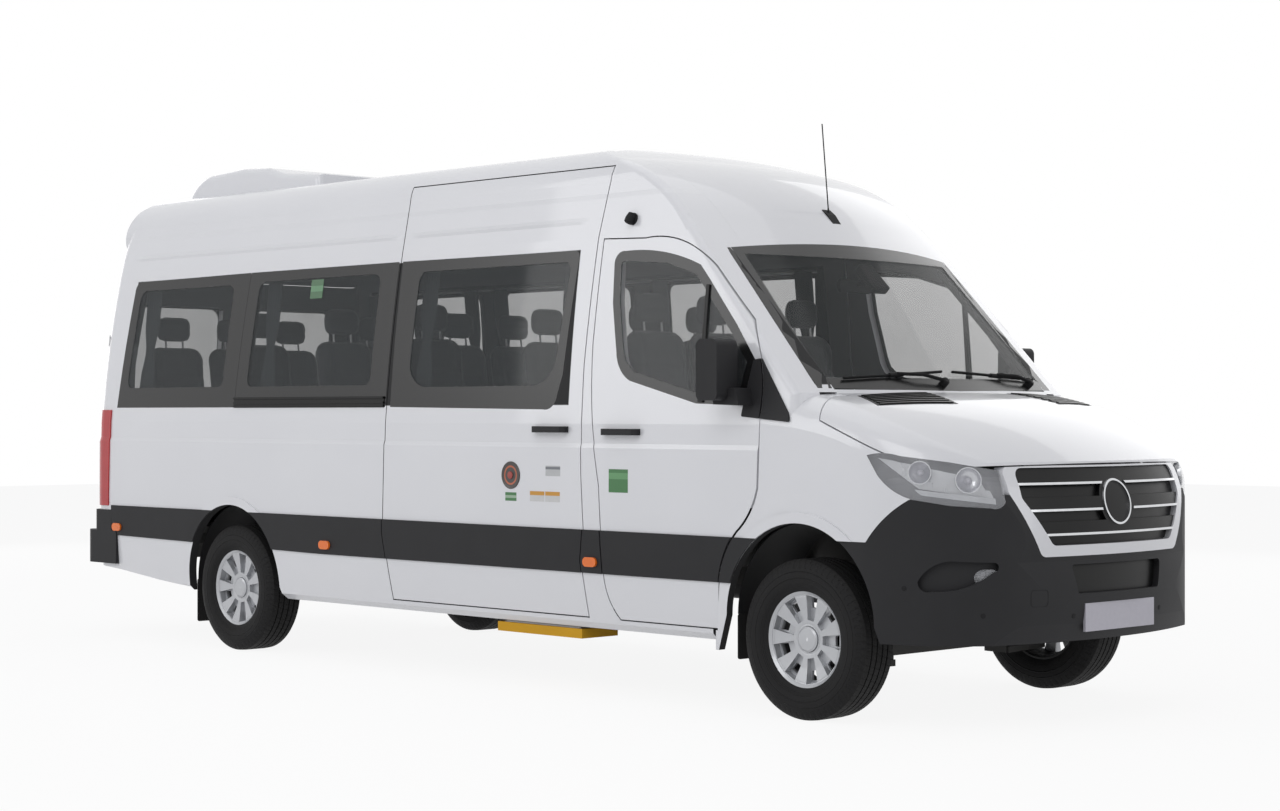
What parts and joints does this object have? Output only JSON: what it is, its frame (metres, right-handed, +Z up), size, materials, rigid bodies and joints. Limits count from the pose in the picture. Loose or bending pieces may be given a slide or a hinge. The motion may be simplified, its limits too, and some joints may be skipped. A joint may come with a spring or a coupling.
{
  "type": "minibus",
  "caption": "High-roof long-wheelbase passenger minibus with hinged cab and rear doors, sliding side door, bonnet, steered front wheels and roof cooling unit",
  "frame": {"origin": "on the ground, under the middle of the bounding box", "axes": "+X forward, +Y to the vehicle's left, +Z up"},
  "size_m": [6.967, 2.344, 2.8079],
  "materials": {
    "amber_lens": "amber lamp lens",
    "cast_parts": "cast steel",
    "chrome_trim": "bright plated trim",
    "clear_lens": "clear lamp lens",
    "dark_plastic": "grained dark grey plastic",
    "dash_plastic": "dark dashboard plastic",
    "flap_rubber": "black rubber",
    "frame_black": "black painted steel",
    "grille_black": "black grille plastic",
    "plate_silver": "blank plate",
    "red_lens": "red lamp lens",
    "seat_fabric": "dark grey seat fabric",
    "seat_metal": "grey painted seat frames",
    "silver_wheel": "silver painted wheel and cover",
    "step_yellow": "yellow painted step",
    "tank_plastic": "black tank plastic",
    "tyre_rubber": "black tyre rubber",
    "white_paint": "glossy cool white paint",
    "window_glass": "tinted glass"
  },
  "bodies": {
    "body": {"aerial": "dark_plastic", "arch_flares": "white_paint", "cowl": "dark_plastic", "dashboard": "dash_plastic", "engine_block": "cast_parts", "entry_step": "step_yellow", "fenders": "white_paint", "floor_pan": "frame_black", "fog_lamps": "clear_lens", "frame_rails": "frame_black", "front_bumper": "dark_plastic", "front_suspension": "frame_black", "fuel_tank": "tank_plastic", "grille": "grille_black", "grille_brightwork": "chrome_trim", "grille_surround": "white_paint", "headlamps": "clear_lens", "mud_flaps": "flap_rubber", "number_plate": "plate_silver", "rear_axle": "cast_parts", "rear_bumper": "dark_plastic", "roof_cooler": "white_paint", "roof_panel": "white_paint", "seat_backs": "seat_fabric", "seat_cushions": "seat_fabric", "seat_frames": "seat_metal", "side_cladding": "dark_plastic", "side_markers": "amber_lens", "side_panel_left": "white_paint", "side_panel_right": "white_paint", "side_windows": "window_glass", "sliding_door": "white_paint", "sliding_door_glass": "window_glass", "sliding_door_trim": "dark_plastic", "steering_wheel": "dash_plastic", "tail_lamps": "red_lens", "wheel_arch_liners": "dark_plastic", "windshield": "window_glass"},
    "front_door_right": {"front_door_right": "white_paint", "front_door_glass_right": "window_glass", "front_door_trim_right": "dark_plastic"},
    "front_door_left": {"front_door_left": "white_paint", "front_door_glass_left": "window_glass", "front_door_trim_left": "dark_plastic"},
    "rear_door_right": {"rear_door_right": "white_paint", "rear_door_glass_right": "window_glass"},
    "rear_door_left": {"rear_door_left": "white_paint", "rear_door_glass_left": "window_glass"},
    "bonnet": {"bonnet": "white_paint"},
    "knuckle_right": {"knuckle_right": "cast_parts"},
    "knuckle_left": {"knuckle_left": "cast_parts"},
    "wheel_front_right": {"wheel_front_right": "silver_wheel", "tyre_front_right": "tyre_rubber"},
    "wheel_front_left": {"wheel_front_left": "silver_wheel", "tyre_front_left": "tyre_rubber"},
    "wheel_rear_right": {"wheel_rear_right": "silver_wheel", "tyre_rear_right": "tyre_rubber"},
    "wheel_rear_left": {"wheel_rear_left": "silver_wheel", "tyre_rear_left": "tyre_rubber"}
  },
  "joints": [
    {"name": "front_door_right_hinge", "type": "hinge", "parent": "body", "child": "front_door_right", "pos_m": [2.262, -1.003, 1.2], "axis": [0, 0, 1], "range_deg": [0, 65]},
    {"name": "rear_door_right_hinge", "type": "hinge", "parent": "body", "child": "rear_door_right", "pos_m": [-3.312, -0.889, 1], "axis": [0.0192, 0, 0.9998], "range_deg": [0, 180]},
    {"name": "steering_right", "type": "hinge", "parent": "body", "child": "knuckle_right", "pos_m": [2.4795, -0.768, 0.356], "axis": [0, 0, 1], "range_deg": [-35, 35]},
    {"name": "wheel_front_right_spin", "type": "hinge", "parent": "knuckle_right", "child": "wheel_front_right", "pos_m": [2.4795, -0.868, 0.356], "axis": [0, 1, 0], "continuous": true},
    {"name": "wheel_rear_right_spin", "type": "hinge", "parent": "body", "child": "wheel_rear_right", "pos_m": [-1.8455, -0.868, 0.356], "axis": [0, 1, 0], "continuous": true},
    {"name": "front_door_left_hinge", "type": "hinge", "parent": "body", "child": "front_door_left", "pos_m": [2.262, 1.003, 1.2], "axis": [0, 0, -1], "range_deg": [0, 65]},
    {"name": "rear_door_left_hinge", "type": "hinge", "parent": "body", "child": "rear_door_left", "pos_m": [-3.312, 0.889, 1], "axis": [-0.0192, 0, -0.9998], "range_deg": [0, 180]},
    {"name": "steering_left", "type": "hinge", "parent": "body", "child": "knuckle_left", "pos_m": [2.4795, 0.768, 0.356], "axis": [0, 0, 1], "range_deg": [-35, 35]},
    {"name": "wheel_front_left_spin", "type": "hinge", "parent": "knuckle_left", "child": "wheel_front_left", "pos_m": [2.4795, 0.868, 0.356], "axis": [0, 1, 0], "continuous": true},
    {"name": "wheel_rear_left_spin", "type": "hinge", "parent": "body", "child": "wheel_rear_left", "pos_m": [-1.8455, 0.868, 0.356], "axis": [0, 1, 0], "continuous": true},
    {"name": "bonnet_hinge", "type": "hinge", "parent": "body", "child": "bonnet", "pos_m": [2.575, 0, 1.45], "axis": [0, -1, 0], "range_deg": [0, 50]}
  ],
  "couplings": [
    {"joint": "steering_left", "follows": "steering_right", "ratio": 1}
  ]
}
